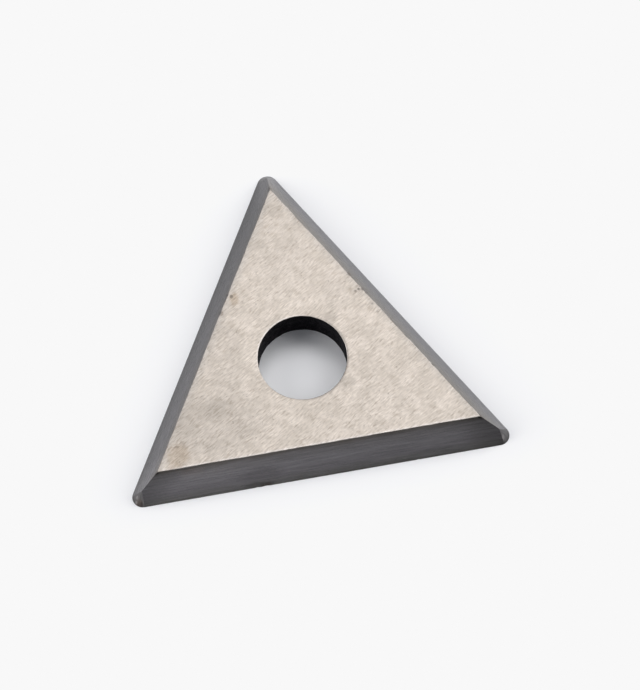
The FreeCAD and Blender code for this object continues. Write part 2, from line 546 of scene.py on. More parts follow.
RIGHT_SPOTS = (
    # Painted shade: darkens the flank towards its far tip, where it reflects brighter floor.
    Spot((0.56, 12.68, 1.20), (2.20, 2.20, 2.8), DARK_BURN_AND_SHADE, 0.14, 0.5),
    Spot((11.50, -6.20, 1.20), (2.00, 2.40, 1.8), PALE_STREAK_AND_HIGHLIGHT, 0.06, 0.5),
    Spot((4.17, 5.31, 2.16), (0.16, 0.22, 0.22), BROWN_STAIN, 0.65),
    Spot((5.00, 4.17, 1.95), (0.16, 0.22, 0.25), BROWN_STAIN, 0.55),
    Spot((5.05, 3.86, 2.15), (0.12, 0.18, 0.20), DARK_PIT, 0.55),
)
NOSE_SPOTS = (
    Spot((-12.15, -7.30, 0.35), (0.36, 0.34, 0.65), BROWN_STAIN, 0.55, 0.9),
    Spot((-12.00, -7.45, 0.25), (0.22, 0.30, 0.35), DARK_PIT, 0.45, 0.9),
    # The pale streaks down the noses are painted highlights on the rounding.
    Spot((-12.18, -6.96, 0.70), (0.11, 0.15, 0.80), PALE_STREAK_AND_HIGHLIGHT, 0.60, 0.3),
    Spot((-12.30, -7.15, 0.22), (0.12, 0.14, 0.32), PALE_STREAK_AND_HIGHLIGHT, 0.50, 0.3),
    Spot((12.00, -7.16, 0.60), (0.12, 0.17, 0.80), PALE_STREAK_AND_HIGHLIGHT, 0.55, 0.3),
    Spot((11.90, -7.50, 0.05), (0.45, 0.35, 0.35), DARK_BURN_AND_SHADE, 0.60),
)

# Colours up each flank and up the noses, from the cutting edge, by height in millimetres. They are
# partly painted reflection and shade: the same carbide gets a lighter colour on the right flank and
# darker ones on the front and left, after how much light each flank reflects, as does each flank's
# fall along its length, and the darker feet are partly painted shade along the floor.
FRONT_BANDS: Bands = (
    (0.00, (0.078, 0.076, 0.072)),
    (0.35, (0.093, 0.090, 0.090)),
    (0.70, (0.105, 0.100, 0.105)),
    (1.35, (0.121, 0.116, 0.121)),
    (1.95, (0.106, 0.101, 0.103)),
    (2.34, (0.074, 0.067, 0.062)),
)
RIGHT_BANDS: Bands = (
    (0.00, (0.132, 0.128, 0.135)),
    (0.30, (0.119, 0.113, 0.118)),
    (0.70, (0.129, 0.123, 0.129)),
    (1.50, (0.129, 0.118, 0.111)),
    (2.00, (0.134, 0.115, 0.096)),
    (2.34, (0.148, 0.127, 0.109)),
)
LEFT_BANDS: Bands = (
    (0.00, (0.066, 0.063, 0.065)),
    (0.30, (0.078, 0.075, 0.077)),
    (0.60, (0.088, 0.084, 0.087)),
    (1.50, (0.094, 0.089, 0.094)),
    (2.05, (0.087, 0.080, 0.078)),
    (2.34, (0.110, 0.098, 0.091)),
)
NOSE_BANDS: Bands = (
    (0.00, (0.095, 0.092, 0.090)),
    (0.40, (0.135, 0.130, 0.128)),
    (1.10, (0.140, 0.135, 0.135)),
)


class SideRim(NamedTuple):
    """Painted highlight or worn stretch beside one side of a face.

    Attributes:
        side: The side.
        colour: Its colour.
        strength: How much of it shows at the side.
        reach: How far it reaches into the face, in millimetres.
    """

    side: Side
    colour: Colour
    strength: float
    reach: float


class HoleRim(NamedTuple):
    """Painted highlight or painted shade beside a part of the hole's rim.

    Attributes:
        colour: Its colour.
        compass: Direction from the hole's middle that its run is measured from, in degrees.
        run: Where it begins and ends, as cosines of the angle from that direction.
        strength: How much of it shows at those two places.
        fade: Distances from the rim at which it begins to fade and is gone, in millimetres.
    """

    colour: Colour
    compass: float
    run: Pair
    strength: Pair
    fade: Pair


# The front's pale stretch is a painted highlight along the edge; the other two are darker wear.
SIDE_RIMS = (
    SideRim(Side.FRONT, PAINTED_EDGE_HIGHLIGHT, 0.80, 0.18),
    SideRim(Side.RIGHT, WORN_EDGE, 0.75, 0.50),
    SideRim(Side.LEFT, WORN_EDGE, 0.95, 0.62),
)
# Painted highlight round the far left of the hole's rim, and brownish painted shade round its near
# right.
HOLE_RIMS = (
    HoleRim(PAINTED_EDGE_HIGHLIGHT, -55.0, (-1.0, -0.45), (0.75, 0.0), (0.05, 0.14)),
    HoleRim(PAINTED_RIM_SHADE, -25.0, (-0.3, 0.9), (0.0, 1.0), (0.04, 0.20)),
)

# Stretches of a pattern's values, from 0 to 1, over which a finish changes.
MIDDLE: Pair = (0.3, 0.7)
MOST: Pair = (0.25, 0.75)
NEARLY_ALL: Pair = (0.2, 0.8)
RISE: Pair = (0.0, 1.0)
FALL: Pair = (1.0, 0.0)


class FinishBench(NodeBench):
    """Bench on a finish, with the place on the blade and the height there in millimetres."""

    def __init__(self, tree: bpy.types.NodeTree) -> None:
        """Start on the tree of a material.

        Args:
            tree: The tree, with no nodes.
        """
        super().__init__(tree)
        metres = self.add("ShaderNodeTexCoord").outputs["Object"]
        self.place = self.vector("MULTIPLY", metres, (MM_PER_METRE,) * 3)
        self.height = self.add("ShaderNodeSeparateXYZ", {"Vector": self.place}).outputs["Z"]

    def grind(self, marks: Pair, wander: float = 0.0) -> bpy.types.NodeOutputs:
        """Lay grinding marks.

        Args:
            marks: Marks to the millimetre, along and across the grain.
            wander: How far they stray from straight lines, in millimetres.

        Returns:
            What the marks' group gives.
        """
        grain = self.add("ShaderNodeUVMap", uv_map=GRAIN_MAP).outputs["UV"]
        along, across = marks
        return self.group(grinding_group(), Vector=grain, Along=along, Across=across, Wander=wander)

    def patches(self, scale: float) -> Socket:
        """Lay soft uneven patches, so many to the millimetre."""
        return self.group(blotch_group(), Vector=self.place, Scale=scale)["Mask"]

    def lay_spots(self, colour: Socket, spots: Iterable[Spot]) -> Socket:
        """Lay stains, pits, painted highlights and painted shade over a colour.

        Args:
            colour: Colour under them.
            spots: The spots, in the order in which they are laid.

        Returns:
            The colour with the spots on it.
        """
        for spot in spots:
            fed = {"Centre": spot.centre, "Size": spot.size, "Ragged": spot.ragged}
            mask = self.group(spot_group(), Vector=self.place, **fed)["Mask"]
            colour = self.tint(self.product(mask, spot.strength), colour, spot.colour)
        return colour


class Look(NamedTuple):
    """What a finish lays on the blade.

    Attributes:
        colour: Its colour.
        uneven: What its roughness follows.
        height: Height of its relief, from 0 to 1.
    """

    colour: Socket
    uneven: Socket
    height: Socket


@dataclass(frozen=True)
class Finish:
    """What every finish of the blade has.

    Attributes:
        label: Name of its material.
        form: The blade's sizes.
        roughness: Its lowest and its highest roughness.
        relief: Depth of its relief, in metres.
        marks: Grinding marks to the millimetre, along and across the grain.
        metallic: 1 for bare metal, or 0 for what doesn't shine as metal.
        gloss: Strength of the sheen of what doesn't shine as metal.
        spots: Stains, pits, painted highlights and painted shade.
    """

    label: str
    form: BladeForm
    roughness: Pair = MIDDLE
    relief: float = 1.0e-6
    marks: Pair = (0.8, 5.0)
    metallic: float = 1.0
    gloss: float = 0.5
    spots: tuple[Spot, ...] = ()

    def dress(self, bench: FinishBench) -> Look:
        """Lay the colour and the relief, each finish in its own way."""
        raise NotImplementedError(self.label)

    def build(self) -> bpy.types.Material:
        """Build the material.

        Returns:
            The material, with the finish's look on a shader of its own.
        """
        material = bpy.data.materials.new(self.label)
        material.use_nodes = True
        material.node_tree.nodes.clear()
        bench = FinishBench(material.node_tree)
        look = self.dress(bench)
        bump = bench.add("ShaderNodeBump", {"Distance": self.relief, "Height": look.height})
        fed = {
            "Base Color": look.colour,
            "Metallic": self.metallic,
            "Specular IOR Level": self.gloss,
            "Roughness": bench.spread(look.uneven, MIDDLE, self.roughness),
            "Normal": bump.outputs["Normal"],
        }
        shader = bench.add("ShaderNodeBsdfPrincipled", fed)
        bench.add("ShaderNodeOutputMaterial", {"Surface": shader.outputs["BSDF"]})
        return material


@dataclass(frozen=True)
class GroundFace(Finish):
    """Bright face, ground flat: short crossing strokes, soft patches, small stains and, where given,
    broad grey spots that are partly painted shade.

    Attributes:
        inradius: Inscribed circle of the face, in millimetres.
        wander: How far the strokes stray from straight lines, in millimetres.
        colour: Mean colour.
        dull: Colour of the darker patches.
        patch_scale: Patches to the millimetre.
        strokes: Stretch of the strokes' height from the darkest to the brightest.
        furrow: Shares of the colour that the dark strokes keep.
        crest: Shares of the colour that the bright strokes have.
        scratches: Stretch of the finer strokes' height that shows.
        scratch_tone: How dark and how bright the finer strokes are, as shares of the colour.
        mottle_scale: Mottles to the millimetre.
        mottle_tone: How dark and how bright they are, as shares of the colour.
        fleck_scale: Flecks to the millimetre.
        flecks: Stretch of the flecks' pattern that shows, which is only its few peaks.
        fleck_tone: Shares of the colour beside a fleck and in it.
    """

    inradius: float = 0.0
    marks: Pair = (1.9, 9.4)
    wander: float = 0.2
    roughness: Pair = (0.38, 0.54)
    relief: float = 2.0e-6
    colour: Colour = (0.454, 0.411, 0.371)
    dull: Colour = (0.382, 0.345, 0.308)
    patch_scale: float = 1.15
    strokes: Pair = (0.20, 0.74)
    furrow: Colour = (0.64, 0.62, 0.595)
    crest: Colour = (1.15, 1.15, 1.15)
    scratches: Pair = (0.25, 0.60)
    scratch_tone: Pair = (0.74, 1.08)
    mottle_scale: float = 4.5
    mottle_tone: Pair = (0.94, 1.06)
    fleck_scale: float = 7.0
    flecks: Pair = (0.70, 0.78)
    fleck_tone: Pair = (1.0, 0.60)

    def dress(self, bench: FinishBench) -> Look:
        """Lay the face's colour and relief.

        Args:
            bench: Bench on the material.

        Returns:
            The look.
        """
        marks = bench.grind(self.marks, self.wander)
        patches = bench.spread(bench.patches(self.patch_scale), MIDDLE, FALL)
        colour = self.lay_rims(bench, bench.tint(patches, self.colour, self.dull))
        colour = bench.lay_spots(colour, self.spots)
        strokes = bench.spread(marks["Strokes"], self.strokes, RISE)
        colour = bench.tint(1.0, colour, bench.tint(strokes, self.furrow, self.crest), "MULTIPLY")
        specks = bench.noise(bench.place, self.fleck_scale, detail=1.0)
        tone = bench.product(
            bench.spread(marks["Fine"], self.scratches, self.scratch_tone),
            bench.spread(bench.noise(bench.place, self.mottle_scale), MIDDLE, self.mottle_tone),
            bench.spread(specks, self.flecks, self.fleck_tone),
        )
        return Look(bench.scale(colour, tone), marks["Height"], marks["Height"])

    def lay_rims(self, bench: FinishBench, colour: Socket) -> Socket:
        """Lay the narrow stretches beside the face's sides and round the hole: a painted highlight
        along the front side and round the far left of the hole, darker wear along the other two
        sides, and brownish painted shade round the near right of the hole.

        Args:
            bench: Bench on the material.
            colour: Colour under them.

        Returns:
            The colour with them on it.
        """
        for rim in SIDE_RIMS:
            fed = {"Inradius": self.inradius, "Reach": rim.reach, "Strength": rim.strength}
            outward = tuple(rim.side.outward)
            # On the front side this mask lays a painted highlight, on the other two sides the darker
            # wear.
            wear = bench.group(edge_wear_and_highlight_group(), Vector=bench.place, Outward=outward, **fed)
            colour = bench.tint(wear["Mask"], colour, rim.colour)
        level = bench.vector("MULTIPLY", bench.place, (1.0, 1.0, 0.0))
        away = bench.vector("DISTANCE", level, (0.0, 0.0, 0.0))
        gap = bench.math("SUBTRACT", away, self.form.hole_radius)
        for rim in HOLE_RIMS:
            towards = bench.vector("DOT_PRODUCT", level, tuple(direction(rim.compass)))
            cosine = bench.math("DIVIDE", towards, self.form.hole_radius)
            run = bench.spread(cosine, rim.run, rim.strength)
            mask = bench.product(run, bench.spread(gap, rim.fade, FALL))
            colour = bench.tint(mask, colour, rim.colour)
        return colour


@dataclass(frozen=True)
class GroundFlank(Finish):
    """Dark relief flank, ground along the edge to a satin gloss.

    Attributes:
        side: Side of the blade that it is on.
        bands: Colours up the flank, each with its height in millimetres.
        patch_scale: Patches to the millimetre, by which the bands' limits waver.
        waver: How far they waver, in millimetres.
        fall: How bright its two ends are, as shares of the colour.
        streaks: How dark and how bright the wheel's streaks are, as shares of the colour.
        scratches: How dark and how bright the finer streaks are, as shares of the colour.
        gleam: How bright the stretch beside each ridge is, as a share of the colour.
        gleam_reach: Distances from the ridge at which it begins to fade and is gone.
    """

    side: Side = Side.FRONT
    marks: Pair = (1.1, 5.5)
    roughness: Pair = (0.24, 0.32)
    relief: float = 0.8e-6
    bands: Bands = ()
    patch_scale: float = 0.9
    waver: float = 0.35
    fall: Pair = (1.0, 1.0)
    streaks: Pair = (0.80, 1.20)
    scratches: Pair = (0.70, 1.30)
    gleam: float = 1.0
    gleam_reach: Pair = (0.10, 0.45)

    def dress(self, bench: FinishBench) -> Look:
        """Lay the flank's colour and relief.

        Args:
            bench: Bench on the material.

        Returns:
            The look.
        """
        marks = bench.grind(self.marks)
        end = self.form.half_side
        patches = bench.math("SUBTRACT", bench.patches(self.patch_scale), 0.5)
        height = bench.math("ADD", bench.height, bench.product(patches, self.waver))
        colour = bench.bands(height, self.form.thickness, self.bands)
        along = bench.vector("DOT_PRODUCT", bench.place, tuple(self.side.along))
        # The ridge at each end leans inwards as far as it rises.
        ridge = bench.math("SUBTRACT", end, bench.height)
        gap = bench.math("SUBTRACT", ridge, bench.math("ABSOLUTE", along))
        tone = bench.product(
            bench.spread(along, (-end, end), self.fall),
            bench.spread(marks["Strokes"], NEARLY_ALL, self.streaks),
            bench.spread(marks["Fine"], MOST, self.scratches),
            bench.spread(gap, self.gleam_reach, (self.gleam, 1.0)),
        )
        colour = bench.scale(bench.lay_spots(colour, self.spots), tone)
        return Look(colour, marks["Height"], marks["Height"])


@dataclass(frozen=True)
class GroundNose(Finish):
    """Rounded tip, ground across the edge and so duller than the flanks, and paler than them partly
    as painted reflection of the light that the rounding catches.

    Attributes:
        bands: Colours up the nose, each with its height in millimetres.
        streaks: How dark and how bright the wheel's streaks are, as shares of the colour.
    """

    roughness: Pair = (0.34, 0.50)
    relief: float = 1.6e-6
    bands: Bands = NOSE_BANDS
    streaks: Pair = (0.80, 1.20)
    spots: tuple[Spot, ...] = NOSE_SPOTS

    def dress(self, bench: FinishBench) -> Look:
        """Lay the nose's colour and relief.

        Args:
            bench: Bench on the material.

        Returns:
            The look.
        """
        marks = bench.grind(self.marks)
        colour = bench.bands(bench.height, self.form.nose_height, self.bands)
        colour = bench.lay_spots(colour, self.spots)
        tone = bench.spread(marks["Strokes"], MOST, self.streaks)
        return Look(bench.scale(colour, tone), marks["Fine"], marks["Height"])


@dataclass(frozen=True)
class SinteredBore(Finish):
    """Nearly black wall of the hole, left as it was sintered.

    Attributes:
        colour: Mean colour.
        crumb: Colour of the raised grains.
        patch_scale: Patches to the millimetre.
        grain_scale: Grains to the millimetre.
        grains: Stretch of the grains' height over which they turn bright.
    """

    roughness: Pair = (0.5, 0.8)
    relief: float = 1.2e-5
    metallic: float = 0.0
    gloss: float = 0.04
    colour: Colour = (0.0030, 0.0027, 0.0042)
    crumb: Colour = (0.200, 0.170, 0.190)
    patch_scale: float = 2.6
    grain_scale: float = 14.0
    grains: Pair = (0.55, 0.72)

    def dress(self, bench: FinishBench) -> Look:
        """Lay the wall's colour and relief.

        Args:
            bench: Bench on the material.

        Returns:
            The look.
        """
        patches = bench.patches(self.patch_scale)
        height = bench.noise(bench.place, self.grain_scale, detail=3.0, rough=0.7)
        mask = bench.product(bench.spread(height, self.grains, RISE), patches)
        return Look(bench.tint(mask, self.colour, self.crumb), patches, height)


@dataclass(frozen=True)
class EdgeBreak(Finish):
    """Bright narrow land where an edge has been dulled.

    Attributes:
        colour: Colour of the bright metal.
        dull: Colour where the land is worn.
        honed: Colour of the cutting edges.
        patch_scale: Worn stretches to the millimetre.
        wear: Stretch of their pattern over which the land turns dull.
        honed_height: Heights between which the cutting edges' colour fades, in millimetres.
    """

    roughness: Pair = (0.30, 0.55)
    colour: Colour = (0.55, 0.51, 0.47)
    dull: Colour = (0.20, 0.175, 0.155)
    honed: Colour = (0.085, 0.082, 0.080)
    patch_scale: float = 0.7
    wear: Pair = (0.40, 0.62)
    honed_height: Pair = (0.2, 0.6)

    def dress(self, bench: FinishBench) -> Look:
        """Lay the land's colour and relief.

        Args:
            bench: Bench on the material.

        Returns:
            The look.
        """
        marks = bench.grind(self.marks)
        worn = bench.spread(bench.patches(self.patch_scale), self.wear, RISE)
        low = bench.spread(bench.height, self.honed_height, FALL)
        colour = bench.tint(low, bench.tint(worn, self.colour, self.dull), self.honed)
        return Look(colour, marks["Height"], marks["Height"])


class Relief(NamedTuple):
    """Unevenness of the hole's wall or of its rims, in millimetres.

    Attributes:
        out: How far it lies outside the true circle.
        lumps: Height of its coarse lumps.
        grains: Height of its grains.
    """

    out: float
    lumps: float
    grains: float


class Wave(NamedTuple):
    """One layer of the unevenness along the smaller face's edges.

    Attributes:
        cells: Its waves to the millimetre.
        layer: Where it is read from the noise, so that no two layers are alike.
        strength: Its height, as a share of the whole.
    """

    cells: float
    layer: float
    strength: float


@dataclass
class ScraperBlade:
    """The blade, with its lengths in millimetres and its angles in radians.

    Attributes:
        form: The blade's main sizes.
        nicks: Pieces knocked out of its edges.
        columns: Number of faces along a flank.
        flank_rows: Number of faces up a flank.
        nose_steps: Number of faces round a nose.
        run_on: Angle by which one flank's finish runs on round each nose.
        seat_break: Width of the land at the smaller face's edges.
        hone: Width of the land at the cutting edges.
        land_steps: Number of faces across a land.
        rim_break: Radius of the rounding at the hole's rims.
        bore_steps: Number of faces round the hole.
        bore_rows: Number of faces up the hole's wall.
        wall_relief: Unevenness of the hole's wall.
        rim_relief: Unevenness of the hole's rims.
        lump_cells: Lumps to the millimetre.
        grain_cells: Grains to the millimetre.
        edge_relief: How uneven the smaller face's edges are.
        edge_wear: How far those edges are worn back, as a share of that.
        edge_waves: The layers of that unevenness.
        corner_wear: How far the smaller face's corners are worn back.
        corner_reach: How far from a corner that wear reaches.
        crease: Angle between faces from which an edge is shown crisp.
        seat_grain: Direction of the grinding strokes on the smaller face.
        bed_grain: Direction of the grinding strokes on the larger face.
        flank_gap: Distance in the grain map from one flank's marks to the next one's.
    """

    form: BladeForm
    nicks: tuple[Nick, ...] = NICKS
    columns: int = 320
    flank_rows: int = 11
    nose_steps: int = 24
    run_on: float = math.radians(18.0)
    seat_break: float = 0.022
    hone: float = 0.012
    land_steps: int = 3
    rim_break: float = 0.026
    bore_steps: int = 240
    bore_rows: int = 26
    wall_relief: Relief = Relief(0.0, 0.015, 0.021)
    rim_relief: Relief = Relief(0.0054, 0.0144, 0.0126)
    lump_cells: float = 2.2
    grain_cells: float = 7.5
    edge_relief: float = 0.004
    edge_wear: float = 0.6
    edge_waves: tuple[Wave, ...] = (Wave(1.7, 3.0, 1.0), Wave(6.1, 9.0, 0.5))
    corner_wear: float = 0.035
    corner_reach: float = 0.30
    crease: float = math.radians(40.0)
    seat_grain: float = math.radians(32.0)
    bed_grain: float = math.radians(-24.0)
    flank_gap: float = 40.0
    mesh: bmesh.types.BMesh = field(default_factory=bmesh.new, repr=False)

    def build(self) -> bpy.types.Object:
        """Make the blade in the order in which the real one is ground.

        Returns:
            The finished blade.
        """
        self.press_blank()
        self.grind_noses()
        self.divide_flanks()
        self.break_edges()
        self.turn_bore()
        self.close_faces()
        self.wear_edges()
        self.roughen_bore()
        self.settle_normals()
        self.map_grain()
        return self.finish_object()

    def select_edges(self, test: Callable[[bmesh.types.BMEdge], bool]) -> list[bmesh.types.BMEdge]:
        """Return the edges that pass a test."""
        return [edge for edge in self.mesh.edges if test(edge)]

    def weld(self) -> None:
        """Make points that lie on top of each other one point."""
        bmesh.ops.remove_doubles(self.mesh, verts=self.mesh.verts, dist=WELD)

    def cut(self, point: Vector, normal: Vector, clear: bool = False) -> None:
        """Divide whatever crosses a plane.

        Args:
            point: A point of the plane.
            normal: The direction that it faces.
            clear: Whether what lies past it is removed.
        """
        bmesh.ops.bisect_plane(
            self.mesh,
            geom=[*self.mesh.verts, *self.mesh.edges, *self.mesh.faces],
            dist=WELD,
            plane_co=point,
            plane_no=normal,
            clear_outer=clear,
        )

    def turn(self, chain: list[Any], centre: Vector, angle: float, steps: int) -> set[Any]:
        """Turn a chain of edges about an upright axis.

        Args:
            chain: Its points and edges.
            centre: Foot of the axis.
            angle: How far it is turned.
            steps: Number of faces that each edge leaves on the way.

        Returns:
            The faces that it leaves.
        """
        before = set(self.mesh.faces)
        bmesh.ops.spin(
            self.mesh,
            geom=chain,
            cent=centre,
            axis=UP,
            angle=angle,
            steps=steps,
            use_merge=angle == math.tau,
        )
        return set(self.mesh.faces) - before

    def press_blank(self) -> None:
        """Make the leaning flanks of the sharp triangle, open above and below."""
        form = self.form
        bmesh.ops.create_cone(
            self.mesh,
            cap_ends=False,
            segments=len(Side),
            radius1=2.0 * form.inradius,
            radius2=2.0 * form.seat_inradius,
            depth=form.thickness,
            matrix=Matrix.Translation(UP * form.thickness / 2.0),
        )
        for face in self.mesh.faces:
            face.material_index = Side.nearest(face.calc_center_median()).flank.value
        self.cut(UP * form.nose_height, UP)

    def grind_noses(self) -> None:
        """Cut each sharp tip off and turn the cone that rounds it."""
        form = self.form
        turn = math.tau / len(Side)
        for side in Side:
            tip = -side.outward
            axis = tip * form.nose_offset
            apex = axis + UP * form.nose_height
            lean = tip * form.nose_height + UP * form.nose_radius / 2.0
            self.cut(apex, lean.normalized(), clear=True)
            start = self.slant_edge(axis, apex, tip)
            for face in self.turn([*start.verts, start], axis, turn, self.nose_steps):
                away = face.calc_center_median() - axis
                past = turn / 2.0 - tip.xy.angle_signed(away.xy, 0.0)
                zone = Side.nearest(away).flank if past < self.run_on else Zone.NOSE
                face.material_index = zone.value
            self.weld()

    def slant_edge(self, axis: Vector, apex: Vector, tip: Vector) -> bmesh.types.BMEdge:
        """Find the edge from which a nose is turned.

        Args:
            axis: Foot of the nose's axis.
            apex: Point that the nose runs out to.
            tip: Direction of the tip.

        Returns:
            The open edge from the apex down to the flank on the right of the tip.
        """
        right_hand = Vector((tip.y, -tip.x, 0.0))
        for edge in self.select_edges(lambda edge: edge.is_boundary):
            foot, head = sorted((point.co for point in edge.verts), key=lambda place: place.z)
            at_apex = (head - apex).length < LEVEL
            if at_apex and abs(foot.z) < LEVEL and (foot - axis).dot(right_hand) > 0.0:
                return edge
        raise RuntimeError("no open edge leads up to the nose's apex")

    def divide_flanks(self) -> None:
        """Divide the flanks finely enough for small nicks in their edges."""
        form = self.form
        for row in range(1, self.flank_rows):
            self.cut(UP * (form.thickness * row / self.flank_rows), UP)
        level = self.select_edges(
            lambda edge: abs(edge.verts[0].co.z - edge.verts[1].co.z) < WELD
            and edge.calc_length() > form.nose_radius * 2.0
        )
        bmesh.ops.subdivide_edges(
            self.mesh, edges=level, cuts=self.columns - 1, use_grid_fill=True
        )

    def outline(self, height: float) -> list[bmesh.types.BMEdge]:
        """Return the open edges at a height."""
        return self.select_edges(
            lambda edge: edge.is_boundary
            and all(abs(point.co.z - height) < LEVEL for point in edge.verts)
        )

    def break_edges(self) -> None:
        """Put a narrow land on the edges of both faces."""
        for height, width in ((self.form.thickness, self.seat_break), (0.0, self.hone)):
            edges = self.outline(height)
            bmesh.ops.contextual_create(self.mesh, geom=edges)
            land = bmesh.ops.bevel(
                self.mesh,
                geom=edges,
                offset=width,
                offset_type="OFFSET",
                segments=self.land_steps,
                profile=0.5,
                affect="EDGES",
                clamp_overlap=True,
                material=-1,
            )
            for face in land["faces"]:
                face.material_index = Zone.EDGE.value
            # The bevel leaves points on top of each other where two lands meet at a corner.
            self.weld()
            lid = [face for face in self.mesh.faces if len(face.verts) > 2 * self.columns]
            bmesh.ops.delete(self.mesh, geom=lid, context="FACES_ONLY")

    def turn_bore(self) -> None:
        """Turn the wall of the hole with a rounded rim at each end."""
        form = self.form
        rim = self.rim_break
        points: list[Vector] = []
        for step in range(self.land_steps + 1):
            angle = math.pi / 2.0 * step / self.land_steps
            across = form.hole_radius + rim * (1.0 - math.sin(angle))
            points.append(Vector((across, 0.0, rim * (1.0 - math.cos(angle)))))
        upper = [Vector((point.x, 0.0, form.thickness - point.z)) for point in reversed(points)]
        for row in range(1, self.bore_rows):
            height = rim + (form.thickness - 2.0 * rim) * row / self.bore_rows
            points.append(Vector((form.hole_radius, 0.0, height)))
        chain = [self.mesh.verts.new(point) for point in points + upper]
        edges = [self.mesh.edges.new(pair) for pair in zip(chain, chain[1:])]
        for face in self.turn([*chain, *edges], Vector(), math.tau, self.bore_steps):
            level = face.calc_center_median().z
            on_rim = min(level, form.thickness - level) < rim
            face.material_index = (Zone.EDGE if on_rim else Zone.BORE).value

    def close_faces(self) -> None:
        """Fill each face between its outline and the hole's rim."""
        for height, zone in ((self.form.thickness, Zone.SEAT), (0.0, Zone.BED)):
            filled = bmesh.ops.triangle_fill(
                self.mesh, use_beauty=True, edges=self.outline(height), normal=UP
            )
            for part in filled["geom"]:
                if isinstance(part, bmesh.types.BMFace):
                    part.material_index = zone.value

    def wear_edges(self) -> None:
        """Make the smaller face's edges slightly uneven and knock the nicks out.

        A point on one of the flat faces stays in it, and any other point moves down or up
        into the blade as well as inwards, so no crease runs across a flat face.
        """
        form = self.form
        lines = {
            EdgeLine.SEAT: Vector((form.seat_inradius, form.thickness)),
            EdgeLine.CUTTING: Vector((form.inradius, 0.0)),
        }
        drops = {EdgeLine.SEAT: -math.tan(form.relief), EdgeLine.CUTTING: 0.0}
        for point in self.mesh.verts:
            side = Side.nearest(point.co)
            along = point.co.dot(side.along)
            here = Vector((point.co.dot(side.outward), point.co.z))
            flat = min(point.co.z, form.thickness - point.co.z) < LEVEL
            near = (here - lines[EdgeLine.SEAT]).length / (2.0 * self.seat_break)
            uneven = self.edge_wear
            for wave in self.edge_waves:
                place = Vector((along * wave.cells, side.value, wave.layer))
                uneven += wave.strength * noise.noise(place)
            depths = {EdgeLine.SEAT: self.edge_relief * uneven * smooth_fall(near)}
            depths[EdgeLine.CUTTING] = 0.0
            for nick in self.nicks:
                if nick.side is side:
                    reach = nick.length / 2.0
                    run = abs(along - nick.place) / reach
                    apart = (here - lines[nick.line]).length / reach
                    depths[nick.line] += nick.depth * smooth_fall(math.hypot(run, apart))
            for line, depth in depths.items():
                if depth > 0.0:
                    point.co -= side.outward * depth
                    point.co.z += 0.0 if flat else drops[line] * depth
            self.wear_corner(point, flat)

    def wear_corner(self, point: bmesh.types.BMVert, flat: bool) -> None:
        """Wear a point back if it is close to a corner of the smaller face.

        Args:
            point: The point.
            flat: Whether it lies on a flat face, in which it then stays.
        """
        form = self.form
        tip = Side.tip(point.co)
        corner = tip * 2.0 * form.seat_inradius + UP * form.thickness
        depth = self.corner_wear * smooth_fall((point.co - corner).length / self.corner_reach)
        point.co -= tip * depth
        # A ridge leans inwards twice as far as a flank.
        point.co.z -= 0.0 if flat else 2.0 * math.tan(form.relief) * depth

    def roughen_bore(self) -> None:
        """Give the hole's wall and rims the relief of sintered carbide."""
        form = self.form
        rim = self.rim_break + LEVEL
        elsewhere = Vector((31.0, 0.0, 0.0))
        for point in self.mesh.verts:
            level = Vector((point.co.x, point.co.y, 0.0))
            if level.length <= form.hole_radius + rim:
                on_wall = min(point.co.z, form.thickness - point.co.z) > rim
                relief = self.wall_relief if on_wall else self.rim_relief
                lumps = noise.noise(point.co * self.lump_cells)
                grains = noise.noise(point.co * self.grain_cells + elsewhere)
                depth = relief.out + relief.lumps * lumps + relief.grains * grains
                point.co += level.normalized() * depth

    def settle_normals(self) -> None:
        """Turn the faces outwards, shade the curved ones smooth and keep the edges crisp."""
        self.weld()
        bmesh.ops.recalc_face_normals(self.mesh, faces=self.mesh.faces)
        flat = (Zone.SEAT.value, Zone.BED.value)
        for face in self.mesh.faces:
            face.smooth = face.material_index not in flat
        open_edges = self.select_edges(lambda edge: not edge.is_manifold)
        if open_edges:
            raise RuntimeError(f"the blade has {len(open_edges)} open edges")
        for edge in self.mesh.edges:
            zones = {face.material_index for face in edge.link_faces}
            if len(zones) > 1 or edge.calc_face_angle(0.0) > self.crease:
                edge.smooth = False

    def grain_place(self, zone: Zone, point: Vector, centre: Vector) -> Iterable[float]:
        """Return a point's place along and across the grinding marks.

        Args:
            zone: Surface that the point is on.
            point: The point.
            centre: Middle of its face, which says which flank or stretch of wall it is on.

        Returns:
            Both distances, in millimetres.
        """
        form = self.form
        if zone in (Zone.SEAT, Zone.BED):
            angle = self.seat_grain if zone is Zone.SEAT else self.bed_grain
            return Matrix.Rotation(-angle, 2) @ point.xy
        if zone is Zone.BORE:
            turn = math.atan2(centre.y, centre.x)
            offset = math.atan2(point.y, point.x) - turn
            offset = (offset + math.pi) % math.tau - math.pi
            return (turn + offset) * form.hole_radius, point.z
        slant = point.z / math.cos(form.relief)
        if zone is Zone.NOSE:
            tip = Side.tip(centre).xy
            away = point.xy - tip * form.nose_offset
            return slant, tip.angle_signed(away, 0.0) * form.nose_radius
        side = Side.nearest(centre)
        start = self.flank_gap * list(Side).index(side)
        return start + point.dot(side.along), slant

    def map_grain(self) -> None:
        """Lay the map that the grinding marks follow."""
        layer = self.mesh.loops.layers.uv.new(GRAIN_MAP)
        for face in self.mesh.faces:
            zone = Zone(face.material_index)
            centre = face.calc_center_median()
            for loop in face.loops:
                loop[layer].uv = self.grain_place(zone, loop.vert.co, centre)

    def finish_object(self) -> bpy.types.Object:
        """Scale the mesh to metres, dress it and put it in the scene.

        Returns:
            The blade's object.
        """
        bmesh.ops.scale(self.mesh, vec=(MM,) * 3, verts=self.mesh.verts)
        data = bpy.data.meshes.new("carbide_blade")
        self.mesh.to_mesh(data)
        self.mesh.free()
        for zone in Zone:
            data.materials.append(self.finishes()[zone].build())
        return into_scene("carbide_blade", data)

